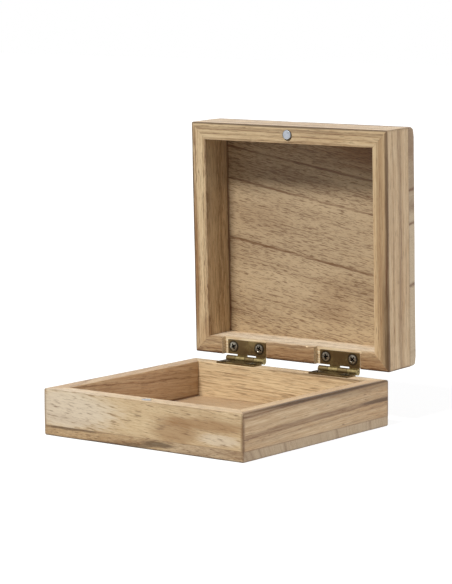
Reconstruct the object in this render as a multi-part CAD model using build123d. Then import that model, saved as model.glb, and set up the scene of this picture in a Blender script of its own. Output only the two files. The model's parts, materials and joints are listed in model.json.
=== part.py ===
"""A square wooden keepsake box with a flat hinged lid, shown with the lid standing open.

Base and lid are each a mitred frame of four boards with a solid panel glued over it.
Two small butt hinges lie on the base's rim and close into mortises in the lid's rim.
Round magnets let into the front rims hold the lid shut.

Millimetres. X runs across the box, the front faces -Y, and +Z is up.
The origin is the middle of the base's underside.
"""
import os
from build123d import *

# The box
box_width = 100.0
box_depth = 99.0
base_height = 19.0
lid_height = 20.0
wall_thickness = 7.3
base_panel_thickness = 4.2
lid_panel_thickness = 4.5
edge_radius = 0.8
rim_gap = 0.15
open_angle = 88.4

# The hinges
hinge_length = 19.6
hinge_inset = 26.0
leaf_thickness = 0.8
leaf_setback = 1.0
leaf_edge_radius = 0.15
barrel_radius = 1.3
barrel_standoff = 1.6
knuckle_count = 4
knuckle_gap = 0.15
notch_clearance = 0.6
roll_gap = 0.08
running_clearance = 0.05
pin_overhang = 0.1
pin_end_radius = 0.2
mortise_side_gap = 1.85

# The hinge screws
screw_spacing = 13.5
screw_edge_distance = 2.8
screw_length = 8.0
screw_tip_length = 1.6
shank_radius = 1.0
head_radius = 2.0
head_seat_height = 0.12
head_crown = 0.16
recess_length = 2.8
recess_foot_length = 1.1
recess_width = 0.7
recess_depth = 0.8
recess_turns = {"left": (28.0, 62.0), "right": (12.0, 50.0)}

# The magnets
magnet_radius = 2.0
magnet_thickness = 3.0
magnet_edge_radius = 0.25
magnet_bore_clearance = 0.05

# Places that follow from the sizes above
pin_radius = barrel_radius - leaf_thickness
leaf_reach = barrel_standoff + wall_thickness - leaf_setback
knuckle_pitch = hinge_length / knuckle_count
hinge_y = box_depth / 2 + barrel_standoff
hinge_z = base_height + barrel_radius
lid_rim_z = base_height + rim_gap
mortise_depth = hinge_z + barrel_radius - lid_rim_z
magnet_y = (wall_thickness - box_depth) / 2
hinge_centres = {"left": hinge_inset - box_width / 2, "right": box_width / 2 - hinge_inset}
hinge_axis = Axis((0, hinge_y, hinge_z), (1, 0, 0))


def block(x_range, y_range, z_range):
    """A box between three pairs of coordinates."""
    size = [high - low for low, high in (x_range, y_range, z_range)]
    middle = [(high + low) / 2 for low, high in (x_range, y_range, z_range)]
    return Pos(*middle) * Box(*size)


def upright_cylinder(radius, x, y, low, high):
    """A cylinder along Z between two heights."""
    return Pos(x, y, (low + high) / 2) * Cylinder(radius, high - low)


def along_hinge(radius, low, high):
    """A cylinder on the X axis between two places."""
    return Pos((low + high) / 2, 0, 0) * Rot(0, 90, 0) * Cylinder(radius, high - low)


def mitre_wedge(side, low, high):
    """The part of the frame's plan that one board takes, cut at 45 degrees at each end."""
    outer_x = box_width / 2
    outer_y = box_depth / 2
    inner_x = outer_x - wall_thickness
    inner_y = outer_y - wall_thickness
    plans = {
        "front": [(-outer_x, -outer_y), (outer_x, -outer_y), (inner_x, -inner_y), (-inner_x, -inner_y)],
        "back": [(outer_x, outer_y), (-outer_x, outer_y), (-inner_x, inner_y), (inner_x, inner_y)],
        "left": [(-outer_x, outer_y), (-outer_x, -outer_y), (-inner_x, -inner_y), (-inner_x, inner_y)],
        "right": [(outer_x, -outer_y), (outer_x, outer_y), (inner_x, inner_y), (inner_x, -inner_y)],
    }
    plan = make_face(Polyline(*plans[side], close=True))
    return Pos(0, 0, low) * extrude(plan, high - low)


def tray(low, high, panel_low, panel_high):
    """Four mitred boards and a panel, with the outside corners eased all round."""
    across = (-box_width / 2, box_width / 2)
    along = (-box_depth / 2, box_depth / 2)
    outside = block(across, along, (low, high))
    outside = fillet(outside.edges(), edge_radius)
    panel_slab = block(across, along, (panel_low, panel_high))
    boards = {"panel": outside & panel_slab}
    frame = outside - panel_slab
    for side in ("front", "back", "left", "right"):
        boards[side + "_wall"] = frame & mitre_wedge(side, low, high)
    return boards


def screw_blank(length, z_face, side):
    """A countersunk screw with no recess. side is +1 where its head looks up."""
    rim = head_seat_height
    cone_foot = rim - (head_radius - shank_radius)
    tip = rim - length
    crown_top = rim + head_crown
    crown_radius = (head_radius ** 2 + head_crown ** 2) / (2 * head_crown)
    halfway = head_radius / 2
    crown_drop = crown_radius - (crown_radius ** 2 - halfway ** 2) ** 0.5
    crown_middle = (halfway, crown_top - crown_drop)
    outline = [
        Line((0, tip), (shank_radius, tip + screw_tip_length)),
        Line((shank_radius, tip + screw_tip_length), (shank_radius, cone_foot)),
        Line((shank_radius, cone_foot), (head_radius, rim)),
        ThreePointArc((head_radius, rim), crown_middle, (0, crown_top)),
        Line((0, crown_top), (0, tip)),
    ]
    section = Plane.XZ * make_face(outline)
    screw = revolve(section, Axis.Z)
    if side < 0:
        screw = Rot(180, 0, 0) * screw
    return Pos(0, 0, z_face) * screw


def cross_recess(z_face, side, turn):
    """The tapered cross that a driver fits, to be cut from a screw's head."""
    top = head_seat_height + head_crown
    foot = top - recess_depth
    slope = (recess_length - recess_foot_length) / 2 / recess_depth
    mouth = recess_length / 2 + slope * head_crown
    arm_outline = Polyline(
        (-mouth, top + head_crown), (mouth, top + head_crown),
        (recess_foot_length / 2, foot), (-recess_foot_length / 2, foot), close=True)
    arm = extrude(Plane.XZ * make_face(arm_outline), recess_width / 2, both=True)
    cross = arm + Rot(0, 0, 90) * arm
    cross = Rot(0, 0, turn) * cross
    if side < 0:
        cross = Rot(180, 0, 0) * cross
    return Pos(0, 0, z_face) * cross


def screw_places(centre):
    """The two places of a leaf's screws, in plan with the box shut."""
    row_y = hinge_y - leaf_reach + screw_edge_distance
    return [(centre - screw_spacing / 2, row_y), (centre + screw_spacing / 2, row_y)]


def leaf_face(side):
    """Height of the face that carries the screw heads, with the box shut."""
    return hinge_z - side * (barrel_radius - leaf_thickness)


def screw_blanks(centre, side):
    """Both screws of one leaf with no recess. side is +1 on the base and -1 in the lid."""
    return [Pos(x, y, 0) * screw_blank(screw_length, leaf_face(side), side)
            for x, y in screw_places(centre)]


def screws(centre, side, turns):
    """Both screws of one leaf."""
    blanks = screw_blanks(centre, side)
    recesses = [Pos(x, y, 0) * cross_recess(leaf_face(side), side, turn)
                for (x, y), turn in zip(screw_places(centre), turns)]
    return [blank - recess for blank, recess in zip(blanks, recesses)]


def leaf(centre, side, own_knuckles, bore_radius):
    """One leaf with its rolled knuckles, box shut. side is +1 on the base and -1 in the lid."""
    outer_z = -side * barrel_radius
    inner_z = -side * pin_radius
    thickness_range = sorted((outer_z, inner_z))
    half = hinge_length / 2
    plate = block((-half, half), (-leaf_reach, 0), thickness_range)
    free_corners = plate.edges().filter_by(Axis.Z).group_by(Axis.Y)[0]
    plate = fillet(free_corners, leaf_edge_radius)
    face = plate.faces().sort_by(Axis.Z)[-1 if side > 0 else 0]
    free_edges = face.edges().sort_by(Axis.Y)[:-1]
    body = fillet(free_edges, leaf_edge_radius)
    notch = (-barrel_radius - notch_clearance, barrel_radius)
    for index in range(knuckle_count):
        start = -half + index * knuckle_pitch
        end = start + knuckle_pitch
        if index in own_knuckles:
            knuckle_start = start + (knuckle_gap / 2 if index > 0 else 0)
            knuckle_end = end - (knuckle_gap / 2 if index < knuckle_count - 1 else 0)
            body = body + along_hinge(barrel_radius, knuckle_start, knuckle_end)
        else:
            notch_start = start - knuckle_gap / 2
            notch_end = end + knuckle_gap / 2
            body = body - block((notch_start, notch_end), notch, thickness_range)
    body = body - along_hinge(bore_radius, -half - knuckle_gap, half + knuckle_gap)
    seam_range = sorted((inner_z, inner_z + side * roll_gap))
    body = body - block((-half - knuckle_gap, half + knuckle_gap), (-barrel_radius, 0), seam_range)
    body = Pos(centre, hinge_y, hinge_z) * body
    for blank in screw_blanks(centre, side):
        body = body - blank
    return body


def pin(centre):
    """The hinge pin, held by the base leaf's knuckles."""
    half = hinge_length / 2 + pin_overhang
    rod = along_hinge(pin_radius, -half, half)
    rod = fillet(rod.edges().filter_by(GeomType.CIRCLE), pin_end_radius)
    return Pos(centre, hinge_y, hinge_z) * rod


def magnet(face_z, side):
    """A disc magnet flush with a rim. side is +1 where its face looks up."""
    low, high = sorted((face_z, face_z - side * magnet_thickness))
    disc = upright_cylinder(magnet_radius, 0, magnet_y, low, high)
    return fillet(disc.edges().filter_by(GeomType.CIRCLE), magnet_edge_radius)


def magnet_bore(face_z, side):
    """The blind hole that a magnet is glued into."""
    low, high = sorted((face_z, face_z - side * magnet_thickness))
    return upright_cylinder(magnet_radius + magnet_bore_clearance, 0, magnet_y, low, high)


def mortise(centre):
    """The slot across the lid's rim that a closed hinge lies in."""
    half = hinge_length / 2 + mortise_side_gap
    back = box_depth / 2
    return block((centre - half, centre + half), (back - wall_thickness, back),
                 (lid_rim_z, lid_rim_z + mortise_depth))


def base_parts():
    """Everything that stays on the table."""
    boards = tray(0, base_height, 0, base_panel_thickness)
    boards["front_wall"] = boards["front_wall"] - magnet_bore(base_height, 1)
    parts = {}
    for place, centre in hinge_centres.items():
        for blank in screw_blanks(centre, 1):
            boards["back_wall"] = boards["back_wall"] - blank
        base_knuckles = range(0, knuckle_count, 2)
        parts[place + "_hinge_base_leaf"] = leaf(centre, 1, base_knuckles, pin_radius)
        parts[place + "_hinge_pin"] = pin(centre)
        parts[place + "_hinge_base_screws"] = screws(centre, 1, recess_turns[place])
    parts["base_magnet"] = magnet(base_height, 1)
    for name, board in boards.items():
        parts["base_" + name] = board
    return parts


def lid_parts():
    """Everything that swings, built shut and then opened about the hinge pins."""
    top = lid_rim_z + lid_height
    boards = tray(lid_rim_z, top, top - lid_panel_thickness, top)
    boards["front_wall"] = boards["front_wall"] - magnet_bore(lid_rim_z, -1)
    parts = {}
    for place, centre in hinge_centres.items():
        boards["back_wall"] = boards["back_wall"] - mortise(centre)
        for blank in screw_blanks(centre, -1):
            boards["back_wall"] = boards["back_wall"] - blank
        lid_knuckles = range(1, knuckle_count, 2)
        bore_radius = pin_radius + running_clearance
        parts[place + "_hinge_lid_leaf"] = leaf(centre, -1, lid_knuckles, bore_radius)
        parts[place + "_hinge_lid_screws"] = screws(centre, -1, recess_turns[place])
    parts["lid_magnet"] = magnet(lid_rim_z, -1)
    for name, board in boards.items():
        parts["lid_" + name] = board
    return {name: opened(part) for name, part in parts.items()}


def opened(part):
    """A lid part, or a list of them, swung from shut to the open angle."""
    if isinstance(part, list):
        return [piece.rotate(hinge_axis, -open_angle) for piece in part]
    return part.rotate(hinge_axis, -open_angle)


def write(name, part):
    """One STEP file for one sub-part."""
    if isinstance(part, list):
        part = Compound(children=[solid for piece in part for solid in piece.solids()])
    export_step(part, os.path.join("parts", name + ".step"))


os.makedirs("parts", exist_ok=True)
for name, part in {**base_parts(), **lid_parts()}.items():
    write(name, part)
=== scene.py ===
"""Dresses a small square wooden box whose flat lid stands open on two butt hinges.

The boards are bare, light, open-pored wood, mitred at the corners, with a panel glued over each frame.
The hinges are dark antique brass, their screws bronzed steel, and the magnets in the rims dull nickel.
Metres, +Z up, in the frame of the packed model. Every board is shaped with the lid shut, where its grain is
laid out too, and the boards of the lid are then swung open about the hinge pins.
"""

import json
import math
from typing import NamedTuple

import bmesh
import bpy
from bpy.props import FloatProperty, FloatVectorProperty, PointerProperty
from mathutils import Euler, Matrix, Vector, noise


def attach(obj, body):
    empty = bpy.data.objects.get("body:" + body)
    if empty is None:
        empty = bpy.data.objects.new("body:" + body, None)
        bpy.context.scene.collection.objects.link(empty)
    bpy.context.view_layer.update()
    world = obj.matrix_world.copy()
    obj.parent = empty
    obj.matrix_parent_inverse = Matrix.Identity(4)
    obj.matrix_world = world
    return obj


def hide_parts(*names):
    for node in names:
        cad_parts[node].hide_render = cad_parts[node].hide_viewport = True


bl_info = {
    "name": "Hinged Wooden Box",
    "version": (1, 0, 0),
    "blender": (4, 5, 0),
    "location": "View3D > Sidebar > Wooden Box",
    "description": "Grained boards, antique hardware and a plain stage for a hinged wooden box",
    "category": "Add Mesh",
}

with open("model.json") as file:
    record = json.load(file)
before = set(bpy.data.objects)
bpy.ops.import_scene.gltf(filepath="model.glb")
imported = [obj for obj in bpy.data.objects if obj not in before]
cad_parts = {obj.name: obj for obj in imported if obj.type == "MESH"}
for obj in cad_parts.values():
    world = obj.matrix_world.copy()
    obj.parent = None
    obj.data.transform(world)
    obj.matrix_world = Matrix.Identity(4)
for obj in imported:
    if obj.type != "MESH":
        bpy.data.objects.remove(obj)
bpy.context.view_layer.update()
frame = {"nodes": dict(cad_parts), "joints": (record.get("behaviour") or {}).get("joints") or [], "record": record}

MM = 0.001
SIDES = ("front", "right", "back", "left")
HINGES = ("left", "right")
TRAYS = ("base", "lid")
QUAD = ((0, 0), (1, 0), (1, 1), (0, 1))

# How much a sanded edge's radius changes along it, and at how many spots to a metre
EDGE_UNEVENNESS = 0.3
EDGE_SPOTS = 90
# How far a point stands out both ways, as a share of the radius, where an edge is sanded most
EDGE_CREST = 0.6
# Where a board's mesh has points near its ends, in millimetres from them
NEAR_ENDS = (0, 0.08, 0.2, 0.35, 0.5, 0.7, 0.95, 1.4)
BORE_SEGMENTS = 48
# Edges between faces that meet at more than this are drawn sharp
BOARD_CREASE = math.radians(40)
METAL_CREASE = math.radians(35)
SENSOR_WIDTH = 36
# The range in which soft noise mostly lies
SPREAD = (0.3, 0.7)

# The lid's joint, and the turns between the open lid of the frame and the shut one
lid_joint = frame["joints"][0]
hinge_place = Vector(lid_joint["pos_m"])
turn_to_shut = Matrix.Rotation(math.radians(lid_joint["range_deg"][0]), 4, Vector(lid_joint["axis"]))
shut_lid = Matrix.Translation(hinge_place) @ turn_to_shut @ Matrix.Translation(-hinge_place)
open_lid = shut_lid.inverted()
lid_nodes = frame["record"]["behaviour"]["bodies"]["lid"]


def within(value, low, high):
    """A value kept between two limits."""
    return min(max(value, low), high)


def linear(red, green, blue):
    """A colour of 0 to 255 as it shows on a screen, in the linear values that shaders take."""
    channels = []
    for value in (red, green, blue):
        share = value / 255
        channels.append(share / 12.92 if share <= 0.04045 else ((share + 0.055) / 1.055) ** 2.4)
    return tuple(channels)


def colour_property(name, description, default):
    """A colour that the sidebar shows as a swatch."""
    return FloatVectorProperty(
        name=name, description=description, subtype="COLOR", size=3, min=0, max=1, default=linear(*default))


def length_property(name, description, millimetres):
    """A length in metres, with its default given in millimetres."""
    return FloatProperty(
        name=name, description=description, subtype="DISTANCE", unit="LENGTH",
        min=0, default=millimetres * MM, precision=5)


def angle_property(name, description, degrees):
    """An angle, with its default given in degrees."""
    return FloatProperty(name=name, description=description, subtype="ANGLE", default=math.radians(degrees))


def number_property(name, description, default, most=1000):
    """A plain number of 0 or more."""
    return FloatProperty(name=name, description=description, min=0, max=most, default=default)


class WoodSettings(bpy.types.PropertyGroup):
    """Colours and small sizes of the boards."""

    pale: colour_property("Pale wood", "The lightest wood between the growth lines", (227, 203, 163))
    tan: colour_property("Tan wood", "The warmer wood that the pale wood shades into", (194, 159, 116))
    stain: colour_property("Stain", "The warm brown of the stained patches", (150, 108, 64))
    line: colour_property("Growth line", "The dark lines and bands along the grain", (104, 67, 34))
    burn: colour_property("Burn", "The darkest brown, along some edges", (70, 47, 18))
    pore: colour_property("Open pores", "The thin dark pores along the fibres", (100, 66, 34))
    end: colour_property("End grain", "The greyer wood where the fibres are cut across", (188, 171, 143))
    # The pale colour also serves for painted light on some faces
    bloom_and_painted_light: colour_property("Bloom", "The palest patches of the wood", (236, 222, 200))
    fresh: colour_property("Fresh cut", "The clean wood inside the mortises", (250, 236, 204))
    edge_radius: length_property("Edge radius", "How round the outside edges are sanded", 0.7)
    lid_end_radius: length_property("Lid end radius", "How round the lid's top is at front and back", 2.0)
    lid_end_reach: length_property("Lid end reach", "How far along the sides the lid's ends are rounder", 4)
    rim_radius: length_property("Rim radius", "How round the inner edges of the rims are", 0.2)
    seam: length_property("Seam", "How far the boards' ends fall back at the glued joints", 0.05)
    pitch: length_property("Mesh pitch", "How far apart the points of a board's mesh lie", 2.5)
    mortise_side_gap: length_property("Mortise gap", "Room beside a hinge in its mortise", 1.85)
    magnet_gap: length_property("Magnet gap", "Room round a magnet in its bore", 0.4)
    magnet_shift: length_property("Magnet shift", "How far a magnet sits to one side in its bore", 0.28)


class MetalSettings(bpy.types.PropertyGroup):
    """Colours of the hinges, screws and magnets."""

    brass: colour_property("Worn brass", "The brass where it is rubbed bright", (196, 180, 126))
    patina: colour_property("Dark patina", "The dark olive brown of the old brass", (106, 88, 60))
    screw: colour_property("Screw head", "The bronzed steel of the screws", (164, 158, 144))
    # Also the colour of the painted shade in the crosses, round the heads and in the gaps round them
    tarnish_and_shade: colour_property("Tarnish", "The dark marks in recesses and round heads", (26, 22, 18))
    nickel: colour_property("Nickel", "The plating of the magnets", (178, 183, 191))
    head_radius: length_property("Head radius", "Radius of a screw's head", 2.0)
    shank_radius: length_property("Shank radius", "Radius of the bore that a screw's shank fills", 1.1)


class StageSettings(bpy.types.PropertyGroup):
    """The camera, the floor and the light."""

    azimuth: angle_property("Azimuth", "How far the camera stands round to the right of the front", 37.254)
    elevation: angle_property("Elevation", "How far the camera looks down", 7.39)
    roll: angle_property("Roll", "How far the camera leans", 0.134)
    distance: length_property("Distance", "From the camera to the point it looks at", 1041.9)
    target: FloatVectorProperty(
        name="Target", description="The point in the middle of the picture", subtype="TRANSLATION",
        unit="LENGTH", default=(0.002755, 0.002027, 0.056511))
    lens: number_property("Lens", "Focal length in millimetres for a sensor 36 mm wide", 159.55)
    floor_size: length_property("Floor size", "Length of each side of the floor", 6000)
    floor_tone: number_property("Floor tone", "How pale the floor is", 0.28, most=1)
    floor_glow: number_property("Floor glow", "How far the floor's shadows are lifted", 0.87, most=1)
    floor_bounce: number_property("Floor bounce", "How much light the floor throws up", 0.25, most=1)
    sky: number_property("Sky", "Strength of the light from all round", 0.22)
    key: number_property("Key light", "Strength of the main light", 3.1)
    fill: number_property("Fill light", "Strength of the light at the side", 1.6)


def shut_box(node):
    """Lowest and highest corner of a CAD node with the lid shut."""
    turn = shut_lid if node in lid_nodes else Matrix.Identity(4)
    points = [turn @ vertex.co for vertex in frame["nodes"][node].data.vertices]
    low = Vector([min(point[axis] for point in points) for axis in range(3)])
    high = Vector([max(point[axis] for point in points) for axis in range(3)])
    return low, high


def screw_places(body, shut=False):
    """A place on the axis of each screw of a body's leaves, with the lid open or shut."""
    head_radius = bpy.context.scene.wooden_box_metal.head_radius
    opening = open_lid if body == "lid" and not shut else Matrix.Identity(4)
    places = []
    for hinge in HINGES:
        low, high = shut_box(f"{hinge}_hinge_{body}_screws")
        middle = (low + high) / 2
        places.append(opening @ Vector((low.x + head_radius, middle.y, middle.z)))
        places.append(opening @ Vector((high.x - head_radius, middle.y, middle.z)))
    return places


class Tray:
    """The outside of the base, or of the shut lid, as the packed boards give it."""

    def __init__(self, body):
        wall_low, wall_high = shut_box(body + "_front_wall")
        panel_low, panel_high = shut_box(body + "_panel")
        rim_is_up = wall_high.z > panel_high.z
        self.body = body
        self.half_width = panel_high.x
        self.half_depth = panel_high.y
        self.wall = wall_high.y - wall_low.y
        low = min(wall_low.z, panel_low.z)
        high = max(wall_high.z, panel_high.z)
        self.low_corner = (-self.half_width, -self.half_depth, low)
        self.high_corner = (self.half_width, self.half_depth, high)
        self.wall_range = (wall_low.z, wall_high.z)
        self.panel_range = (panel_low.z, panel_high.z)
        self.up = 1 if rim_is_up else -1
        self.rim = high if rim_is_up else low
        self.joint = wall_low.z if rim_is_up else wall_high.z
        self.opening = open_lid if body == "lid" else Matrix.Identity(4)

    def core(self, point, radius):
        """The nearest point of the box that lies one radius inside the tray."""
        sides = zip(point, self.low_corner, self.high_corner)
        return Vector([within(value, low + radius, high - radius) for value, low, high in sides])

    def ease(self, point, radius):
        """Draws a point of the square outside onto the sanded edges, which are a little uneven."""
        sanded = radius * (1 + EDGE_UNEVENNESS * noise.noise(point * EDGE_SPOTS))
        core = self.core(point, sanded)
        away = point - core
        if away.length > 0:
            away.length = max(abs(part) for part in away)
        return core + away

    def edge_share(self, point, radius):
        """How far round a sanded edge a point lies: 0 on a flat face, 1 at the middle of an edge."""
        away = point - self.core(point, radius)
        return min(1, sorted(abs(part) for part in away)[1] / (EDGE_CREST * radius))


def stations(low, high, pitch):
    """Places from low to high, close together near both ends and about a pitch apart between."""
    near = [step * MM for step in NEAR_ENDS]
    start = low + near[-1]
    length = high - near[-1] - start
    count = max(1, round(length / pitch))
    middle = [start + length * step / count for step in range(1, count)]
    return [low + step for step in near] + middle + [high - step for step in reversed(near)]


def lattice_shell(*lines):
    """The outside of a lattice of three lists of places: its points, and the quads that join them.

    The quads face outwards.
    """
    last = [len(line) - 1 for line in lines]
    numbers = {}
    faces = []
    for axis in range(3):
        first_way, second_way = (axis + 1) % 3, (axis + 2) % 3
        for level, corners in ((0, QUAD[::-1]), (last[axis], QUAD)):
            for first in range(last[first_way]):
                for second in range(last[second_way]):
                    quad = []
                    for first_step, second_step in corners:
                        spot = [0, 0, 0]
                        spot[axis] = level
                        spot[first_way] = first + first_step
                        spot[second_way] = second + second_step
                        quad.append(numbers.setdefault(tuple(spot), len(numbers)))
                    faces.append(quad)
    points = [tuple(line[place] for line, place in zip(lines, spot)) for spot in numbers]
    return points, faces


def round_corner(inward, height, corner, ways, radius):
    """Draws a point of a wall's section back onto a rounded corner. The ways point out of the wood."""
    centre = [place - way * radius for place, way in zip(corner, ways)]
    out = [(place - middle) * way for place, middle, way in zip((inward, height), centre, ways)]
    if min(out) <= 0:
        return inward, height
    shrink = max(out) / math.hypot(*out)
    return tuple(middle + way * part * shrink for middle, way, part in zip(centre, ways, out))


def wall_shape(tray, side, wood):
    """One mitred wall: its points with the lid shut, and its faces."""
    lies_along_x = side in ("front", "back")
    half_length = tray.half_width if lies_along_x else tray.half_depth
    half_across = tray.half_depth if lies_along_x else tray.half_width
    turn = Matrix.Rotation(SIDES.index(side) * math.pi / 2, 4, "Z")
    low, high = tray.wall_range
    spots, faces = lattice_shell(
        stations(-half_length, half_length, wood.pitch), stations(0, tray.wall, wood.pitch),
        stations(low, high, wood.pitch))
    points = []
    for along, inward, height in spots:
        if abs(along) == half_length:
            inward = within(inward, wood.seam, tray.wall - wood.seam)
            height = within(height, low + wood.seam, high - wood.seam)
        inward, height = round_corner(inward, height, (tray.wall, tray.rim), (1, tray.up), wood.rim_radius)
        inward, height = round_corner(inward, height, (0, tray.joint), (-1, -tray.up), 2 * wood.seam)
        mitred = along * (half_length - inward) / half_length
        point = turn @ Vector((mitred, inward - half_across, height))
        points.append(tray.ease(point, wood.edge_radius))
    return points, faces


def panel_shape(tray, wood):
    """The panel over a tray's frame: its points with the lid shut, and its faces.

    Its edges are as round as the walls', and the lid's are rounder at front and back, away from the walls.
    """
    half_width, half_depth = tray.half_width, tray.half_depth
    thickness = tray.panel_range[1] - tray.panel_range[0]
    rounder = wood.lid_end_radius - wood.edge_radius if tray.body == "lid" else 0
    spots, faces = lattice_shell(
        stations(-half_width, half_width, wood.pitch), stations(-half_depth, half_depth, wood.pitch),
        stations(*tray.panel_range, wood.pitch))
    points = []
    for x, y, z in spots:
        if z == tray.panel_range[0 if tray.up < 0 else 1]:
            x = within(x, wood.seam - half_width, half_width - wood.seam)
            y = within(y, wood.seam - half_depth, half_depth - wood.seam)
        toward_end = max(0, 1 - (half_depth - abs(y)) / wood.lid_end_reach)
        from_joint = abs(z - tray.joint) / thickness
        points.append(tray.ease(Vector((x, y, z)), wood.edge_radius + rounder * toward_end * from_joint))
    return points, faces


def add_object(name, data):
    """A new object in the scene."""
    thing = bpy.data.objects.new(name, data)
    bpy.context.scene.collection.objects.link(thing)
    return thing


def shade_smooth(mesh, crease):
    """Lets a mesh's faces shade into each other, but not where they meet at more than the crease."""
    mesh.polygons.foreach_set("use_smooth", [True] * len(mesh.polygons))
    mesh.set_sharp_from_angle(angle=crease)


class Cutter:
    """Collects shapes that are cut out of one board together. They don't overlap."""

    def __init__(self):
        self.shapes = bmesh.new()

    def block(self, low, high):
        """A box between two corners."""
        size = Matrix.Diagonal((high - low).to_4d())
        size[3][3] = 1
        bmesh.ops.create_cube(self.shapes, size=1, matrix=Matrix.Translation((low + high) / 2) @ size)

    def bore(self, x, y, z_range, radius):
        """An upright round hole."""
        middle = Matrix.Translation((x, y, sum(z_range) / 2))
        bmesh.ops.create_cone(
            self.shapes, cap_ends=True, segments=BORE_SEGMENTS, radius1=radius, radius2=radius,
            depth=z_range[1] - z_range[0], matrix=middle)

    def chip(self, place, size, turn):
        """A splinter broken out of an edge, long in x."""
        shape = Matrix.LocRotScale(place, Euler(turn), size)
        bmesh.ops.create_icosphere(self.shapes, subdivisions=1, radius=1, matrix=shape)

    def cut(self, board, material):
        """Takes the shapes out of a board, which shows the material where it was cut."""
        mesh = bpy.data.meshes.new("cutter")
        self.shapes.to_mesh(mesh)
        self.shapes.free()
        mesh.materials.append(material)
        tool = add_object("cutter", mesh)
        change = board.modifiers.new("cut", "BOOLEAN")
        change.operation = "DIFFERENCE"
        change.solver = "EXACT"
        change.material_mode = "TRANSFER"
        change.object = tool
        shaped = bpy.data.meshes.new_from_object(board.evaluated_get(bpy.context.evaluated_depsgraph_get()))
        board.modifiers.clear()
        board.data = shaped
        bpy.data.objects.remove(tool)


def note_grain(mesh, tray, fibre, wood):
    """Keeps on each point its place in the shut box, whether the fibres end there and how sanded it is."""
    places, ends, edges = [], [], []
    for vertex in mesh.vertices:
        places.extend(vertex.co)
        ends.append(within(2 * abs(vertex.normal.dot(fibre)) - 1, 0, 1))
        edges.append(tray.edge_share(vertex.co, wood.edge_radius))
    mesh.attributes.new("shut_place", "FLOAT_VECTOR", "POINT").data.foreach_set("vector", places)
    mesh.attributes.new("end_grain", "FLOAT", "POINT").data.foreach_set("value", ends)
    mesh.attributes.new("sanded_edge", "FLOAT", "POINT").data.foreach_set("value", edges)


def add_board(node, tray, shape, grain, cutters=()):
    """Makes one board in the shut box, cuts it, swings it open with its tray and gives it to its body."""
    wood = bpy.context.scene.wooden_box_wood
    mesh = bpy.data.meshes.new(node + "_board")
    points, faces = shape
    mesh.from_pydata(points, [], faces)
    mesh.materials.append(wood_material(node, tray, grain))
    board = add_object(node + "_board", mesh)
    for cutter in cutters:
        cutter.cut(board, fresh_wood_material())
    mesh = board.data
    note_grain(mesh, tray, Vector(grain.fibre).normalized(), wood)
    shade_smooth(mesh, BOARD_CREASE)
    mesh.transform(tray.opening)
    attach(board, tray.body)
    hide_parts(node)


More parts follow.
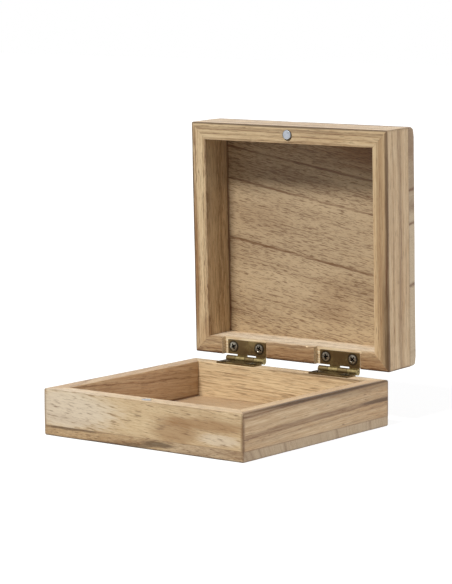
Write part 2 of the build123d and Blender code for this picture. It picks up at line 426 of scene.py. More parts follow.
class Bench:
    """Lays out the nodes of a material or a world. Inputs are numbers, colours or other nodes' sockets."""

    def __init__(self, name, library="materials"):
        self.owner = getattr(bpy.data, library).new(name)
        self.owner.use_nodes = True
        self.tree = self.owner.node_tree
        self.tree.nodes.clear()

    def feed(self, socket, value):
        """Sets a socket, or joins another one to it. A colour socket takes its colour with no alpha."""
        if isinstance(value, bpy.types.NodeSocket):
            self.tree.links.new(value, socket)
        elif socket.type == "RGBA":
            socket.default_value = (*value, 1)
        else:
            socket.default_value = value

    def add(self, kind, inputs, **settings):
        """A node with its settings, and its inputs by name or number."""
        node = self.tree.nodes.new("ShaderNode" + kind)
        for name, value in settings.items():
            setattr(node, name, value)
        for name, value in inputs.items():
            self.feed(node.inputs[name], value)
        return node

    def math(self, operation, *values, clamp=False):
        """A number worked out from one to three others."""
        inputs = dict(enumerate(values))
        return self.add("Math", inputs, operation=operation, use_clamp=clamp).outputs[0]

    def vector(self, operation, *values):
        """A vector, or for a length or a dot product a number, worked out from others."""
        node = self.add("VectorMath", {}, operation=operation)
        for number, value in enumerate(values):
            self.feed(node.inputs["Scale" if operation == "SCALE" and number else number], value)
        return node.outputs["Value" if operation in ("LENGTH", "DOT_PRODUCT") else "Vector"]

    def remap(self, value, source, target=(0, 1), smooth=False):
        """Moves a number from one range to another and keeps it there."""
        inputs = {"Value": value, "From Min": source[0], "From Max": source[1],
                  "To Min": target[0], "To Max": target[1]}
        kind = "SMOOTHSTEP" if smooth else "LINEAR"
        return self.add("MapRange", inputs, interpolation_type=kind).outputs[0]

    def mix(self, share, first, second):
        """A colour between two."""
        first_colour, second_colour, result = 6, 7, 2
        inputs = {0: share, first_colour: first, second_colour: second}
        return self.add("Mix", inputs, data_type="RGBA").outputs[result]

    def cloud(self, place, size, turn=(0, 0, 0), detail=2, roughness=0.5, colour=False):
        """Soft noise, with about one feature to the size in millimetres, in a turned frame."""
        inputs = {"Vector": place, "Rotation": turn, "Scale": size}
        place = self.add("Mapping", inputs, vector_type="TEXTURE").outputs[0]
        inputs = {"Vector": place, "Scale": 1, "Detail": detail, "Roughness": roughness}
        return self.add("TexNoise", inputs).outputs["Color" if colour else 0]

    def ramp(self, value, stops):
        """A grey level from (place, level) stops, places from 0 to 1."""
        node = self.add("ValToRGB", {0: value})
        points = node.color_ramp.elements
        while len(points) < len(stops):
            points.new(1)
        for point, (place, level) in zip(points, stops):
            point.position = place
            point.color = (level, level, level, 1)
        return node.outputs[0]

    def attribute(self, name, output):
        """What the mesh keeps under a name."""
        return self.add("Attribute", {}, attribute_name=name).outputs[output]

    def shut_place(self):
        """Where a board's point lies in the shut box, in millimetres."""
        return self.vector("SCALE", self.attribute("shut_place", "Vector"), 1 / MM)

    def open_place(self):
        """Where a CAD piece's point lies in the open box, in millimetres."""
        return self.vector("SCALE", self.add("TexCoord", {}).outputs["Object"], 1 / MM)

    def finish(self, bump=None, bump_depth=0.08, bump_strength=0.5, **inputs):
        """The shader itself, with a bump in millimetres, and the finished material."""
        shader = self.add("BsdfPrincipled", {})
        for name, value in inputs.items():
            self.feed(shader.inputs[name.replace("_", " ").title().replace("Ior", "IOR")], value)
        if bump is not None:
            inputs = {"Height": bump, "Distance": bump_depth * MM, "Strength": bump_strength}
            self.feed(shader.inputs["Normal"], self.add("Bump", inputs).outputs[0])
        self.add("OutputMaterial", {"Surface": shader.outputs[0]})
        return self.owner


class Grain(NamedTuple):
    """How one board was cut from the tree.

    fibre is the way its fibres run, and across the way in which growth rings are counted, in millimetres
    from the board's middle. bow is the rings' radius. lines gives how dark the wood is, from 0 to 1, at
    places along across. wave is how far the lines wander, and fringe how ragged they are, in millimetres.
    wave_length is how long each wander is. tan is how far the pale wood leans to tan, and mottle how much
    that changes from place to place. pores is how many pores lie open, pore_length how long they are
    and depth how dark. lined is how dark the many finer lines between the growth lines are, streaks how
    dark the loose fibres are, stroke their size, and edge how dark the sanded edges. stains, burns and
    blooms are soft brown, dark and pale patches: middle and half sizes in the shut box, and how strong.
    """

    fibre: tuple
    across: tuple
    lines: tuple
    bow: float = 120
    wave: float = 0.6
    wave_length: float = 45
    fringe: float = 0.5
    tan: float = 0.4
    mottle: float = 0.2
    pores: float = 0.24
    pore_length: float = 5
    depth: float = 0.6
    lined: float = 0.25
    streaks: float = 0.3
    stroke: tuple = (30, 0.9, 0.9)
    edge: float = 0.7
    stains: tuple = ()
    burns: tuple = ()
    # Pale patches; some of them are painted light that brightens a face
    blooms_and_painted_light: tuple = ()

    def turn(self):
        """The turn that lays the X axis along the fibres."""
        x, y, z = Vector(self.fibre).normalized()
        return (0, -math.atan2(z, math.hypot(x, y)), math.atan2(y, x))

    def pith(self, middle):
        """A point on the middle of the tree, in millimetres, for a board with that middle."""
        fibre = Vector(self.fibre).normalized()
        across = Vector(self.across)
        across = (across - across.dot(fibre) * fibre).normalized()
        return middle / MM - across * self.bow


GRAINS = {
    "lid_panel": Grain(
        fibre=(1, 0.16, 0), across=(-0.16, 1, 0.15), bow=160, wave=0.5, fringe=0.45, tan=-0.4, mottle=0.15,
        pores=0.3, pore_length=4, depth=0.7, lined=0.03, streaks=0.1, edge=1,
        # The broad pale patch over the panel's upper part is painted light
        blooms_and_painted_light=(((-10, -20, 34), (80, 60, 12), 0.15),), burns=(((0, -49.6, 39), (70, 1.6, 3), 0.7),),
        stains=(((12, 26, 34), (10, 12, 6), 0.2), ((-25, -7, 34), (16, 9, 6), 0.15),
                ((34, -42, 34), (30, 12, 8), 0.8)),
        lines=((-60, 0.5), (-34, 0.45), (-32, 0.45), (-31.5, 0.9), (-30.9, 0.85), (-30.4, 0.35), (-29, 0.2),
               (-27, 0.5), (-25, 0.65), (-23, 0.45), (-21, 0.04), (-18.5, 0.1), (-17.9, 0.8), (-17.4, 0.7),
               (-16.8, 0.04), (-14, 0), (5.6, 0.03), (6.5, 0.25), (6.9, 0.8), (7.4, 0.85), (8, 0.3),
               (8.6, 0.02), (25, 0), (33, 0.03), (35, 0.14), (37, 0.03), (60, 0.1))),
    "lid_front_wall": Grain(
        fibre=(1, 0, 0), across=(0, 1, 0.4), wave=0.5, wave_length=28, tan=0.35, pores=0.22, lined=0.55,
        streaks=0.4, stroke=(16, 0.7, 0.7), edge=1, burns=(((0, -49.5, 19.3), (70, 0.9, 0.8), 0.8),),
        lines=((-7, 0.7), (-6.3, 0.6), (-5.7, 0.15), (-4.8, 0.12), (-4.2, 0.6), (-3.7, 0.15), (-2.2, 0.1),
               (-1.7, 0.5), (-1.2, 0.08), (-0.4, 0.1), (0, 0.35), (0.4, 0.1), (3, 0.15), (5, 0.4),
               (8, 0.2))),
    "lid_right_wall": Grain(
        fibre=(0, 1, 0), across=(1, 0, 0.5), wave=0.5, tan=0.5, pores=0.2, lined=0.3,
        stains=(((46.8, -10, 19), (2.3, 60, 5), 0.4),),
        burns=(((50, -22, 18.9), (1.6, 44, 1), 0.65), ((50, 32, 18.9), (3.3, 36, 1.1), 0.6),
               ((50, 46, 18.9), (3.4, 18, 1.3), 0.5), ((50, 49.6, 27), (3, 0.9, 12), 0.8)),
        lines=((-8, 0.05), (-5.6, 0.04), (-4.6, 0.25), (-3.4, 0.15), (-2.7, 0.3), (-2, 0.08), (-1.3, 0.2),
               (-0.9, 0.7), (-0.3, 0.8), (0.1, 0.06), (1.4, 0.03), (1.7, 0.15), (2, 0.03), (3, 0.1),
               (3.3, 0.45), (4, 0.5), (4.4, 0.1), (5.3, 0.03), (5.7, 0.2), (6, 0.04), (6.6, 0.15),
               (7.6, 0.3))),
    "lid_back_wall": Grain(
        fibre=(1, 0, 0), across=(0, 1, -1), bow=60, wave=0.9, wave_length=14, fringe=0.8,
        pores=0.26, lined=0.4, streaks=0.5, stroke=(9, 0.8, 0.8),
        # The pale patch on the wall's inner face is painted light on the face that looks up when the lid stands
        # open
        stains=(((16, 47, 19), (58, 4, 2.5), 0.65),), blooms_and_painted_light=(((0, 42, 27), (60, 1.5, 8), 0.9),),
        burns=(((0, 49.6, 19.2), (80, 1.2, 1), 0.7),),
        lines=((-9, 0.05), (-6.5, 0.02), (-3, 0.06), (-2.6, 0.15), (-2.2, 0.02), (1.5, 0.02), (2.7, 0.05),
               (3.1, 0.35), (3.7, 0.6), (4.2, 0.2), (4.9, 0.3), (5.3, 0.65), (5.7, 0.2), (6.5, 0.35),
               (6.8, 0.7), (7.2, 0.3), (7.8, 0.7), (9, 0.8))),
    "lid_left_wall": Grain(
        fibre=(0, 1, 0.02), across=(1, 0, 0.35), bow=40, wave=0.9, wave_length=26, fringe=0.8, tan=0.25,
        pores=0.22, lined=0.6, streaks=0.7, stroke=(14, 0.7, 0.7), edge=1.2,
        burns=(((-50, -4, 19.2), (1.1, 66, 1.8), 0.9),),
        stains=(((-49, 12, 19), (2.2, 36, 5), 0.85), ((-45, 44, 19), (3, 12, 4), 0.4)),
        lines=((-6.8, 0.7), (-5.4, 0.5), (-4.6, 0.12), (-2, 0.03), (0.6, 0.05), (1.2, 0.12), (1.9, 0.25),
               (2.4, 0.1), (3.3, 0.1), (3.7, 0.4), (4.1, 0.1), (4.7, 0.25), (5.1, 0.1), (5.4, 0.3),
               (7, 0.12))),
    "base_front_wall": Grain(
        fibre=(1, 0, -0.09), across=(-0.05, -1, 0), bow=30, wave=0.35, fringe=0.3, pores=0.19,
        pore_length=3.4, depth=0.24, lined=0.2, streaks=0.8, stroke=(6, 0.8, 0.8),
        stains=(((17, -49, 8.6), (13, 9, 5.2), 0.6), ((31, -49, 12.8), (23, 9, 2.6), 0.6)),
        blooms_and_painted_light=(((-38, -50, 12), (28, 9, 9), 0.75), ((38, -50, 7.5), (11, 9, 2.6), 0.5)),
        lines=((-4, 0.1), (0.6, 0.05), (1.6, 0.1), (2.6, 0.2), (3.1, 0.2), (3.35, 0.1), (3.9, 0.05),
               (4.7, 0.12), (5.1, 0.05), (7, 0.08), (8, 0.2))),
    "base_right_wall": Grain(
        fibre=(0, 1, 0.027), across=(0.7, 0, 0.7), wave=0.4, fringe=0.4, tan=0.7, pores=0.2, lined=0.3,
        streaks=0.4,
        burns=(((50, 6, 19), (3, 56, 1.1), 1), ((50, 30, 17.8), (3, 36, 2.2), 0.3),
               ((50, 44, 11.4), (3, 16, 0.9), 0.75)),
        lines=((-8, 0.1), (-2.7, 0.06), (-0.6, 0.06), (-0.1, 0.25), (0.3, 0.08), (1, 0.12), (1.5, 0.5),
               (2.3, 0.65), (3, 0.12), (3.6, 0.05), (6, 0.06), (6.8, 0.2), (7.3, 0.5), (7.9, 0.7))),
    "base_back_wall": Grain(
        fibre=(1, 0, -0.03), across=(0, 0.3, 1), wave=0.5, tan=0.2, pores=0.28, pore_length=8, depth=0.5,
        lined=0.2, streaks=0.25, edge=0.5,
        burns=(((10, 49.5, 19), (60, 1.6, 1.2), 0.6), ((24, 42.2, 18.9), (40, 0.9, 0.9), 0.5)),
        lines=((-9, 0.1), (-5.3, 0.05), (-5, 0.15), (-4.6, 0.05), (-1.2, 0.02), (-0.9, 0.15), (-0.5, 0.02),
               (3, 0.02), (3.3, 0.15), (3.8, 0.02), (9, 0.05))),
    "base_left_wall": Grain(
        fibre=(0, 1, -0.08), across=(0.3, 0, 1), wave=0.8, wave_length=22, fringe=0.9, tan=0.75,
        pores=0.22, depth=0.5, lined=0.2,
        stains=(((-43, 0, 10), (5, 70, 8), 0.42),), burns=(((-50, 5, 19), (1.3, 56, 1), 0.5),),
        lines=((-9, 0.25), (-5, 0.25), (-1.4, 0.2), (-0.9, 0.3), (-0.4, 0.15), (2.4, 0.15), (2.8, 0.25),
               (3.3, 0.15), (4.2, 0.2), (4.6, 0.6), (5, 0.2), (6.6, 0.25), (9, 0.2))),
    "base_panel": Grain(
        fibre=(1, 0.1, 0), across=(-0.1, 1, 0.3), bow=90, wave=0.8, tan=0.6,
        streaks=0.45, stroke=(7, 1, 1), stains=(((-30, -50, 2), (26, 5, 4), 0.2),),
        burns=(((-15, -50, 0), (17, 3, 0.9), 0.85), ((8, -50, 2.6), (9, 3, 1.3), 0.75),
               ((-2, -50, 1.2), (8, 3, 0.8), 0.6), ((-36, -50, 4), (17, 3, 0.7), 0.7)),
        blooms_and_painted_light=(((30, -50, 2), (22, 4, 5), 0.2),),
        lines=((-60, 0.05), (-52.5, 0.1), (-51, 0.45), (-49.8, 0.15), (-48, 0.55), (-46.4, 0.25),
               (-44.4, 0.45), (-43, 0.12), (-41, 0.1), (-40, 0.5), (-39, 0.12), (-27, 0.1), (-25.6, 0.6),
               (-24.6, 0.1), (6, 0.1), (7.4, 0.5), (8.4, 0.1), (29, 0.1), (30.3, 0.5), (31.3, 0.1),
               (60, 0.1))),
}


# Two chips out of the lid's back rim: place along the wall, size in millimetres and turn
CHIPS = ((35.5, (1.3, 0.7, 0.45), (0.3, 0.2, 0.35)), (8.9, (0.9, 0.5, 0.35), (-0.3, 0.1, -0.25)))


# Sizes of the wood's features in millimetres, along the fibres and across them
DRIFT_WIDTH = 10
RAGGED_SIZE = (6, 0.6, 0.6)
FADING_SIZE = (30, 4, 4)
FIBRE_SIZE = (9, 0.3, 0.3)
PATCH_SIZE = (60, 9, 9)
FRESH_FIBRE_SIZE = (9, 0.4, 0.4)

# Where the noise of rings and streaks starts to show as dark lines and shows in full
RING_SHOWS = (0.52, 0.68)
STREAK_SHOWS = (0.54, 0.74)
# What noise and the ends of fibres turn into: the range that counts and the levels at its two ends
FADING = (SPREAD, (0.7, 1.2))
BROKEN_LINES = ((0.35, 0.6), (0.4, 1.2))
FIBRE_LINES = ((0.52, 0.74), (0, 0.25))
END_STREAKS = ((0, 1), (1, 0.3))
PORE_ROWS = ((0.35, 0.65), (-0.04, 0.04))
GLUE_AND_SHADE_PATCHES = (SPREAD, (0.6, 1))
RAGGED_PATCH = (SPREAD, (-0.25, 0.25))
WOOD_ROUGHNESS = (SPREAD, (0.5, 0.66))

# Pores of two kinds: their share of the pore length, width in millimetres and how dark they are
PORES = ((1, 0.36, 1), (0.56, 0.28, 0.6))
# Where the noise of the pores, with how open they are added, starts to show and shows in full
PORE_SHOWS = (0.86, 0.95)

# Glue lines, with painted shade in the inner corners where a wall meets the panel: from how far off in millimetres
# they darken to where they are darkest, and how dark
JOINT_GLUE = ((0.45, 0.1), 0.55)
# The inner corners' line is a glue line and also painted shade between a wall and the panel
INNER_CORNER_GLUE_AND_SHADE = ((1.1, 0.5), 0.95)
MITRE_GLUE = ((0.5, 0.1), 0.28)
OUTER_CORNER_GLUE = {"base": ((-1.8, -0.6), 0.7), "lid": ((-1.8, -0.6), 0.4)}

# Where a soft patch starts to show and shows in full, in half sizes from its middle
PATCH_SHOWS = (1.2, 0.5)


def growth(bench, place, grain, middle):
    """Where a place lies among the growth rings, and how dark the wood is there."""
    turn = grain.turn()
    drift = bench.cloud(place, (grain.wave_length, DRIFT_WIDTH, DRIFT_WIDTH), turn, colour=True)
    drift = bench.vector("SCALE", bench.vector("SUBTRACT", drift, (0.5, 0.5, 0.5)), 3 * grain.wave)
    spoke = bench.vector("SUBTRACT", bench.vector("ADD", place, drift), grain.pith(middle))
    spoke = bench.vector("CROSS_PRODUCT", spoke, Vector(grain.fibre).normalized())
    ring = bench.math("SUBTRACT", bench.vector("LENGTH", spoke), grain.bow)
    ragged = bench.cloud(place, RAGGED_SIZE, turn, detail=3, roughness=0.6)
    ragged = bench.math("MULTIPLY", bench.math("SUBTRACT", ragged, 0.5), 2 * grain.fringe)
    ring = bench.math("ADD", ring, ragged)
    first, last = grain.lines[0][0], grain.lines[-1][0]
    stops = [((at - first) / (last - first), level) for at, level in grain.lines]
    darkness = bench.ramp(bench.remap(ring, (first, last)), stops)
    fading = bench.cloud(place, FADING_SIZE, turn)
    return ring, bench.math("MULTIPLY", darkness, bench.remap(fading, *FADING))


def glue_lines_and_corner_shade(bench, place, tray, is_wall):
    """How dark the thin lines are where the boards are glued: under the panel, at mitres and at corners."""
    across = bench.vector("ABSOLUTE", place)
    x, y, z = bench.add("SeparateXYZ", {0: across}).outputs
    joint = bench.math("ABSOLUTE", bench.math("SUBTRACT", z, tray.joint / MM))
    side = bench.math("SUBTRACT", x, (tray.half_width - tray.wall) / MM)
    past_end = bench.math("MAXIMUM", bench.math("SUBTRACT", y, (tray.half_depth - tray.wall) / MM), 0)
    from_corner = bench.add("CombineXYZ", {0: side, 1: past_end, 2: joint}).outputs[0]
    # The inner corner's line is also painted shade between a wall and the panel
    lines = [(joint, JOINT_GLUE), (bench.vector("LENGTH", from_corner), INNER_CORNER_GLUE_AND_SHADE)]
    if is_wall:
        off_square = (tray.half_width - tray.half_depth) / MM
        mitre = bench.math("ABSOLUTE", bench.math("SUBTRACT", bench.math("SUBTRACT", x, y), off_square))
        past_side = bench.math("SUBTRACT", x, tray.half_width / MM)
        past_front = bench.math("SUBTRACT", y, tray.half_depth / MM)
        outer_corner = bench.math("MINIMUM", past_side, past_front)
        lines += [(mitre, MITRE_GLUE), (outer_corner, OUTER_CORNER_GLUE[tray.body])]
    dark = 0
    for distance, (reach, level) in lines:
        dark = bench.math("MAXIMUM", dark, bench.remap(distance, reach, (0, level), smooth=True))
    return dark


def pore_dashes(bench, place, grain, openness):
    """Thin dark dashes along the fibres, where the pores lie open. The openness is about 0.25."""
    dashes = []
    for share, width, level in PORES:
        size = (share * grain.pore_length, width, width)
        depth = bench.math("ADD", bench.cloud(place, size, grain.turn(), detail=1), openness)
        dashes.append(bench.remap(depth, PORE_SHOWS, (0, level), smooth=True))
    return bench.math("MAXIMUM", *dashes)


def add_patches(bench, colour, patches, patch_colour, place, ragged):
    """A colour with soft patches of another one. Each patch has a middle, half sizes and a level."""
    for middle, size, level in patches:
        spoke = bench.vector("DIVIDE", bench.vector("SUBTRACT", place, middle), size)
        reach = bench.math("ADD", bench.vector("LENGTH", spoke), bench.remap(ragged, *RAGGED_PATCH))
        share = bench.remap(reach, PATCH_SHOWS, (0, level), smooth=True)
        colour = bench.mix(share, colour, patch_colour)
    return colour


def wood_material(node, tray, grain):
    """Open-pored wood, cut as the grain says, solid all through the board."""
    wood = bpy.context.scene.wooden_box_wood
    low, high = shut_box(node)
    bench = Bench(node + "_wood")
    place = bench.shut_place()
    end = bench.attribute("end_grain", "Fac")
    turn = grain.turn()
    ring, darkness = growth(bench, place, grain, (low + high) / 2)

    # Fibres, streaks, patches of colour and finer rings, all fainter on end grain
    fibres = bench.cloud(place, FIBRE_SIZE, turn, detail=4, roughness=0.7)
    streaks = bench.cloud(place, grain.stroke, turn, detail=3, roughness=0.6)
    patches = bench.cloud(place, PATCH_SIZE, turn)
    rings = bench.add("TexNoise", {"W": ring, "Scale": 1, "Detail": 3}, noise_dimensions="1D").outputs[0]
    mottle = (-grain.mottle, grain.mottle)
    tan = bench.math("ADD", bench.remap(patches, SPREAD, mottle), bench.remap(rings, SPREAD, mottle))
    warmth = bench.remap(fibres, SPREAD, (grain.tan - 0.5, grain.tan + 0.5))
    tan = bench.math("ADD", tan, warmth, clamp=True)
    lined = bench.remap(rings, RING_SHOWS, (0, grain.lined))
    lined = bench.math("MULTIPLY", lined, bench.remap(streaks, *BROKEN_LINES))
    streak = bench.math("MAXIMUM", lined, bench.remap(streaks, STREAK_SHOWS, (0, grain.streaks)))
    streak = bench.math("MAXIMUM", streak, bench.remap(fibres, *FIBRE_LINES))
    streak = bench.math("MULTIPLY", streak, bench.remap(end, *END_STREAKS))
    darkness = bench.math("ADD", darkness, streak)

    # Pores, in rows along the rings and more of them in the dark lines
    openness = bench.remap(patches, (0.35, 0.65), (grain.pores - 0.03, grain.pores + 0.03))
    openness = bench.math("ADD", openness, bench.remap(rings, *PORE_ROWS))
    openness = bench.math("MULTIPLY_ADD", darkness, 0.05, openness)
    dashes = pore_dashes(bench, place, grain, openness)
    dashes = bench.math("MULTIPLY", dashes, bench.remap(end, (0, 1), (grain.depth, 0.4 * grain.depth)))

    # Colour: pale to tan, stained, then darkened along the lines, at edges, at glue lines and with painted shade
    # in the inner corners, and in the pores
    edges = bench.remap(streaks, SPREAD, (0.4 * grain.edge, grain.edge))
    edges = bench.math("MULTIPLY", bench.attribute("sanded_edge", "Fac"), edges)
    glue_and_corner_shade = glue_lines_and_corner_shade(bench, place, tray, not node.endswith("panel"))
    glue_and_corner_shade = bench.math("MULTIPLY", glue_and_corner_shade, bench.remap(patches, *GLUE_AND_SHADE_PATCHES))
    darkness = bench.math("MAXIMUM", darkness, glue_and_corner_shade, clamp=True)
    colour = bench.mix(tan, wood.pale, wood.tan)
    # Pale patches, some of them painted light
    colour = add_patches(bench, colour, grain.blooms_and_painted_light, wood.bloom_and_painted_light, place, streaks)
    colour = add_patches(bench, colour, grain.stains, wood.stain, place, streaks)
    colour = bench.mix(bench.math("MULTIPLY", end, 0.6), colour, wood.end)
    colour = bench.mix(darkness, colour, wood.line)
    colour = bench.mix(edges, colour, wood.burn)
    colour = add_patches(bench, colour, grain.burns, wood.burn, place, streaks)
    colour = bench.mix(dashes, colour, wood.pore)
    relief = bench.math("SUBTRACT", bench.math("MULTIPLY", fibres, 0.35), dashes)
    return bench.finish(
        base_color=colour, roughness=bench.remap(fibres, *WOOD_ROUGHNESS), specular_ior_level=0.5,
        sheen_weight=0.3, sheen_roughness=0.3, bump=relief, bump_strength=0.6)


def fresh_wood_material():
    """Wood just cut by a router: pale, with faint fibres along the box."""
    name = "fresh_cut_wood"
    if name in bpy.data.materials:
        return bpy.data.materials[name]
    wood = bpy.context.scene.wooden_box_wood
    bench = Bench(name)
    fibres = bench.cloud(bench.shut_place(), FRESH_FIBRE_SIZE, detail=3, roughness=0.6)
    colour = bench.mix(bench.remap(fibres, (0.35, 0.7)), wood.fresh, wood.tan)
    return bench.finish(base_color=colour, roughness=0.75, specular_ior_level=0.25, bump=fibres)


def assign(nodes, material):
    """Gives CAD nodes a finished material in place of their plain one."""
    for node in nodes:
        piece = frame["nodes"][node]
        piece.data.materials.clear()
        piece.data.materials.append(material)
        shade_smooth(piece.data, METAL_CREASE)


def heads(body):
    """The way the screws of a body face in the open box, and one place on the plane of their crowns."""
    low, high = shut_box(f"left_hinge_{body}_screws")
    if body == "base":
        return Vector((0, 0, 1)), high
    return open_lid.to_3x3() @ Vector((0, 0, -1)), open_lid @ low


# Further from a screw, in millimetres, than any place on a hinge
FAR_OFF = 100
# How bright each part of the barrels is rubbed, and how far from their axis that starts and is full
SHINE = {"base": 0.12, "lid": 0.42, "pin": 0.36}
BARREL_SHOWS = (1.7, 1.25)
# How deep below a screw's crown the cross starts to darken with oxide and painted shade, and is black
CROSS_DEPTHS = (0.12, 0.26)

# What noise turns into on the metals: the range that counts and the levels at its two ends
RUBBED = ((0.45, 0.8), (0, 0.28))
BARREL_WEAR = ((0.3, 0.6), (0.5, 1))
TARNISHED = ((0.42, 0.62), (0, 0.8))
BRASS_ROUGHNESS = (SPREAD, (0.3, 0.46))
SCREW_ROUGHNESS = (SPREAD, (0.25, 0.45))
NICKEL_ROUGHNESS = (SPREAD, (0.25, 0.42))

# Sizes of the metals' features in millimetres
PATINA_SIZE = (6, 5, 5)
SPECK_SIZE = (0.7, 0.7, 0.7)
BRUSHED_SIZE = (5, 0.3, 0.3)
TURNED_SIZE = (0.6, 0.6, 0.6)
MARK_SIZE = (1.6, 1.6, 1.6)


def from_axis(bench, place, on_axis, way):
    """How far a place is from an axis, in millimetres."""
    spoke = bench.vector("SUBTRACT", place, on_axis / MM)
    return bench.vector("LENGTH", bench.vector("CROSS_PRODUCT", spoke, way))


def nearest_axis(bench, place, screws, facing):
    """How far a place is from the axis of the nearest screw, in millimetres."""
    nearest = FAR_OFF
    for screw in screws:
        nearest = bench.math("MINIMUM", nearest, from_axis(bench, place, screw, facing))
    return nearest


def brass_material(body, screws):
    """Old brass with an olive patina, rubbed bright on the barrel, and grime round the screws' heads."""
    metal = bpy.context.scene.wooden_box_metal
    bench = Bench(body + "_brass")
    place = bench.open_place()
    patches = bench.cloud(place, PATINA_SIZE, detail=3, roughness=0.55)
    specks = bench.cloud(place, SPECK_SIZE, detail=3, roughness=0.6)
    brushed = bench.cloud(place, BRUSHED_SIZE)
    rubbed = bench.math("ADD", patches, bench.math("MULTIPLY", bench.math("SUBTRACT", specks, 0.5), 0.3))
    rubbed = bench.remap(rubbed, *RUBBED, smooth=True)
    from_pin = from_axis(bench, place, hinge_place, lid_joint["axis"])
    worn = bench.remap(from_pin, BARREL_SHOWS, (0, SHINE[body]), smooth=True)
    worn = bench.math("MULTIPLY", worn, bench.remap(specks, *BARREL_WEAR))
    colour = bench.mix(bench.math("MAXIMUM", rubbed, worn), metal.patina, metal.brass)
    if screws:
        # Painted shade in the gap round each screw's head
        reach = metal.head_radius / MM
        away = nearest_axis(bench, place, screws, heads(body)[0])
        head_gap_shade = bench.remap(away, (reach + 0.9, reach + 0.3), (0, 0.7), smooth=True)
        colour = bench.mix(head_gap_shade, colour, metal.tarnish_and_shade)
    relief = bench.math("ADD", bench.math("MULTIPLY", specks, 0.6), bench.math("MULTIPLY", brushed, 0.4))
    return bench.finish(
        base_color=colour, metallic=1.0, roughness=bench.remap(specks, *BRASS_ROUGHNESS),
        bump=relief, bump_depth=0.02, bump_strength=0.4)


def screw_material(body, screws):
    """Bronzed steel, black in the cross and round the head, and brighter on the crown."""
    metal = bpy.context.scene.wooden_box_metal
    bench = Bench(body + "_bronzed_steel")
    place = bench.open_place()
    turned = bench.cloud(place, TURNED_SIZE, detail=4, roughness=0.65)
    tarnished = bench.remap(turned, *TARNISHED)
    colour = bench.mix(tarnished, metal.screw, metal.tarnish_and_shade)
    facing, crown = heads(body)
    height = bench.vector("DOT_PRODUCT", place, facing)
    depth = bench.math("SUBTRACT", facing.dot(crown) / MM, height)
    # Oxide and painted shade in the cross, deeper below the crown
    cross_shade_and_oxide = bench.remap(depth, CROSS_DEPTHS, smooth=True)
    reach = metal.head_radius / MM
    away = nearest_axis(bench, place, screws, facing)
    # Painted shade round the edge of the head, where it meets the leaf
    rim = bench.remap(away, (reach - 0.4, reach), (0, 0.7), smooth=True)
    colour = bench.mix(bench.math("MAXIMUM", cross_shade_and_oxide, rim), colour, metal.tarnish_and_shade)
    return bench.finish(
        base_color=colour, metallic=1.0, roughness=bench.remap(turned, *SCREW_ROUGHNESS),
        bump=turned, bump_depth=0.03, bump_strength=0.5)


def nickel_material():
    """Dull nickel plate with faint handling marks."""
    metal = bpy.context.scene.wooden_box_metal
    bench = Bench("dull_nickel")
    place = bench.open_place()
    marks = bench.cloud(place, MARK_SIZE, detail=4, roughness=0.6)
    colour = bench.mix(bench.remap(marks, (0.35, 0.7)), metal.nickel, 0.55 * metal.nickel)
    return bench.finish(
        base_color=colour, metallic=1.0, roughness=bench.remap(marks, *NICKEL_ROUGHNESS),
        bump=marks, bump_depth=0.02, bump_strength=0.3)


class WOODEN_BOX_OT_walls(bpy.types.Operator):
    """Replace the eight walls with mitred, grained boards, bored for the magnets and cut for the hinges"""

    bl_idname = "wooden_box.walls"
    bl_label = "Walls"

    def execute(self, context):
        for body in TRAYS:
            tray = Tray(body)
            for side in SIDES:
                node = f"{body}_{side}_wall"
                shape = wall_shape(tray, side, context.scene.wooden_box_wood)
                add_board(node, tray, shape, GRAINS[node], self.cutters(context, tray, side))
        return {"FINISHED"}

    def cutters(self, context, tray, side):
        """What is cut out of a wall, one cut after another."""
        if side == "front":
            return [self.magnet_bore(context, tray)]
        if side == "back" and tray.body == "lid":
            return [self.mortises(context, tray), self.screw_bores(context, tray), self.chips(tray)]
        if side == "back":
            return [self.screw_bores(context, tray)]
        return []

    def magnet_bore(self, context, tray):
        """A bore a little wider than the magnet, which sits to one side in it."""
        wood = context.scene.wooden_box_wood
        low, high = shut_box(tray.body + "_magnet")
        middle = (low + high) / 2
        floor = low.z if tray.up > 0 else high.z
        cutter = Cutter()
        cutter.bore(
            middle.x + wood.magnet_shift, middle.y + wood.magnet_shift,
            sorted((floor, tray.rim + tray.up * MM)), (high.x - low.x) / 2 + wood.magnet_gap)
        return cutter

    def mortises(self, context, tray):
        """The mortises across the rim that the hinges lie in."""
        wood = context.scene.wooden_box_wood
        inner = tray.half_depth - tray.wall
        cutter = Cutter()
        for hinge in HINGES:
            leaf_low, leaf_high = shut_box(f"{hinge}_hinge_lid_leaf")
            low = Vector((leaf_low.x - wood.mortise_side_gap, inner - MM, tray.rim - MM))
            high = Vector((leaf_high.x + wood.mortise_side_gap, tray.half_depth + MM, leaf_high.z))
            cutter.block(low, high)
        return cutter

    def chips(self, tray):
        """Splinters broken out of the inner edge of the rim."""
        cutter = Cutter()
        for x, size, turn in CHIPS:
            place = Vector((x * MM, tray.half_depth - tray.wall, tray.rim))
            cutter.chip(place, Vector(size) * MM, turn)
        return cutter

    def screw_bores(self, context, tray):
        """The bores that the screws' shanks fill."""
        radius = context.scene.wooden_box_metal.shank_radius
        low, high = shut_box(f"left_hinge_{tray.body}_screws")
        leaf_top = shut_box(f"left_hinge_{tray.body}_leaf")[1].z
        seat = leaf_top - MM if tray.body == "lid" else tray.rim + MM
        depth = high.z if tray.body == "lid" else low.z
        cutter = Cutter()
        for place in screw_places(tray.body, shut=True):
            cutter.bore(place.x, place.y, sorted((seat, depth)), radius)
        return cutter


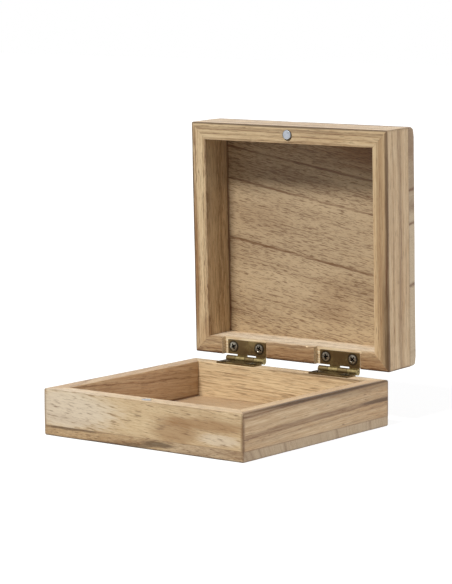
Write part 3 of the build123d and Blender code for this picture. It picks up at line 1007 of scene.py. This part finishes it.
class WOODEN_BOX_OT_panels(bpy.types.Operator):
    """Replace the bottom and the top with grained panels"""

    bl_idname = "wooden_box.panels"
    bl_label = "Panels"

    def execute(self, context):
        for body in TRAYS:
            tray = Tray(body)
            node = body + "_panel"
            add_board(node, tray, panel_shape(tray, context.scene.wooden_box_wood), GRAINS[node])
        return {"FINISHED"}


class WOODEN_BOX_OT_hinges(bpy.types.Operator):
    """Finish the hinge leaves and pins as dark antique brass"""

    bl_idname = "wooden_box.hinges"
    bl_label = "Hinges"

    def execute(self, context):
        for body in TRAYS:
            leaves = [f"{hinge}_hinge_{body}_leaf" for hinge in HINGES]
            assign(leaves, brass_material(body, screw_places(body)))
        pins = [hinge + "_hinge_pin" for hinge in HINGES]
        assign(pins, brass_material("pin", []))
        return {"FINISHED"}


class WOODEN_BOX_OT_screws(bpy.types.Operator):
    """Finish the hinge screws as bronzed steel"""

    bl_idname = "wooden_box.screws"
    bl_label = "Screws"

    def execute(self, context):
        for body in TRAYS:
            screws = [f"{hinge}_hinge_{body}_screws" for hinge in HINGES]
            assign(screws, screw_material(body, screw_places(body)))
        return {"FINISHED"}


class WOODEN_BOX_OT_magnets(bpy.types.Operator):
    """Finish the magnets as dull nickel plate"""

    bl_idname = "wooden_box.magnets"
    bl_label = "Magnets"

    def execute(self, context):
        assign([body + "_magnet" for body in TRAYS], nickel_material())
        return {"FINISHED"}


# Each light's width in degrees, the direction it stands in and its colour
KEY_LIGHT = (12, (-0.12, -1.038, 1.352), (1, 0.985, 0.95))
FILL_LIGHT = (30, (0.95, 0.15, 0.25), (0.94, 0.93, 1))


class WOODEN_BOX_OT_stage(bpy.types.Operator):
    """Add the pale floor, the soft light and the camera"""

    bl_idname = "wooden_box.stage"
    bl_label = "Stage"

    def execute(self, context):
        stage = context.scene.wooden_box_stage
        self.add_floor(stage)
        self.add_sky(context, stage)
        self.add_sun("key", stage.key, *KEY_LIGHT)
        self.add_sun("fill", stage.fill, *FILL_LIGHT)
        self.add_camera(context, stage)
        context.scene.view_settings.view_transform = "Standard"
        return {"FINISHED"}

    def add_floor(self, stage):
        """A wide white floor under the box. It throws less light up than it shows."""
        half = stage.floor_size / 2
        mesh = bpy.data.meshes.new("floor")
        corners = [(-half, -half, 0), (half, -half, 0), (half, half, 0), (-half, half, 0)]
        mesh.from_pydata(corners, [], [(0, 1, 2, 3)])
        bench = Bench("floor")
        thrown_up = bench.add("LightPath", {}).outputs["Is Diffuse Ray"]
        tone = bench.mix(thrown_up, (stage.floor_tone,) * 3, (stage.floor_bounce,) * 3)
        glow = bench.remap(thrown_up, (0, 1), (stage.floor_glow, 0))
        material = bench.finish(
            base_color=tone, roughness=0.9, specular_ior_level=0.1, emission_color=(1, 1, 1),
            emission_strength=glow)
        material.cycles.emission_sampling = "NONE"
        mesh.materials.append(material)
        floor = add_object("floor", mesh)

    def add_sky(self, context, stage):
        """Dim even light from all round, which the camera and the bare metal see as white."""
        bench = Bench("studio", "worlds")
        bench.owner.cycles.sampling_method = "NONE"
        lights_wood = bench.add("LightPath", {}).outputs["Is Diffuse Ray"]
        strength = bench.remap(lights_wood, (0, 1), (1, stage.sky))
        glow = bench.add("Background", {"Color": (1, 1, 1), "Strength": strength}).outputs[0]
        bench.add("OutputWorld", {"Surface": glow})
        context.scene.world = bench.owner

    def add_sun(self, name, strength, width, toward, colour):
        """A light a given number of degrees wide, that stands far off in one direction."""
        light = bpy.data.lights.new(name, "SUN")
        light.energy = strength
        light.angle = math.radians(width)
        light.color = colour
        add_object(name, light).rotation_euler = Vector(toward).to_track_quat("Z", "Y").to_euler()

    def add_camera(self, context, stage):
        """The camera, aimed by its azimuth, elevation and roll round the target."""
        lens = bpy.data.cameras.new("camera")
        lens.lens = stage.lens
        lens.sensor_width = SENSOR_WIDTH
        camera = add_object("camera", lens)
        flat = math.cos(stage.elevation)
        back = Vector((
            math.sin(stage.azimuth) * flat, -math.cos(stage.azimuth) * flat, math.sin(stage.elevation)))
        right = Vector((0, 0, 1)).cross(back).normalized()
        aim = Matrix((right, back.cross(right), back)).transposed() @ Matrix.Rotation(-stage.roll, 3, "Z")
        eye = Vector(stage.target) + back * stage.distance
        camera.matrix_world = Matrix.Translation(eye) @ aim.to_4x4()
        context.scene.camera = camera


OPERATORS = (
    WOODEN_BOX_OT_walls, WOODEN_BOX_OT_panels, WOODEN_BOX_OT_hinges, WOODEN_BOX_OT_screws,
    WOODEN_BOX_OT_magnets, WOODEN_BOX_OT_stage)
SETTINGS = {
    "wooden_box_wood": WoodSettings, "wooden_box_metal": MetalSettings, "wooden_box_stage": StageSettings}


class WOODEN_BOX_PT_sidebar(bpy.types.Panel):
    """The sizes, the colours and a button for each group of pieces"""

    bl_idname = "WOODEN_BOX_PT_sidebar"
    bl_label = "Wooden Box"
    bl_space_type = "VIEW_3D"
    bl_region_type = "UI"
    bl_category = "Wooden Box"

    def draw(self, context):
        for operator in OPERATORS:
            self.layout.operator(operator.bl_idname)
        for name, group in SETTINGS.items():
            column = self.layout.column(heading=group.__doc__)
            for setting in group.__annotations__:
                column.prop(getattr(context.scene, name), setting)


CLASSES = (*SETTINGS.values(), *OPERATORS, WOODEN_BOX_PT_sidebar)


def register():
    """Adds the classes, and the settings to each scene."""
    for cls in CLASSES:
        bpy.utils.register_class(cls)
    for name, group in SETTINGS.items():
        setattr(bpy.types.Scene, name, PointerProperty(type=group))


def unregister():
    """Takes the settings and the classes away again."""
    for name in SETTINGS:
        delattr(bpy.types.Scene, name)
    for cls in reversed(CLASSES):
        bpy.utils.unregister_class(cls)


def main():
    """Dresses the box, and writes the sizes of the CAD model and of the visual model."""
    register()
    bpy.ops.wooden_box.walls()
    bpy.ops.wooden_box.panels()
    bpy.ops.wooden_box.hinges()
    bpy.ops.wooden_box.screws()
    bpy.ops.wooden_box.magnets()
    bpy.ops.wooden_box.stage()


if __name__ == "__main__":
    main()
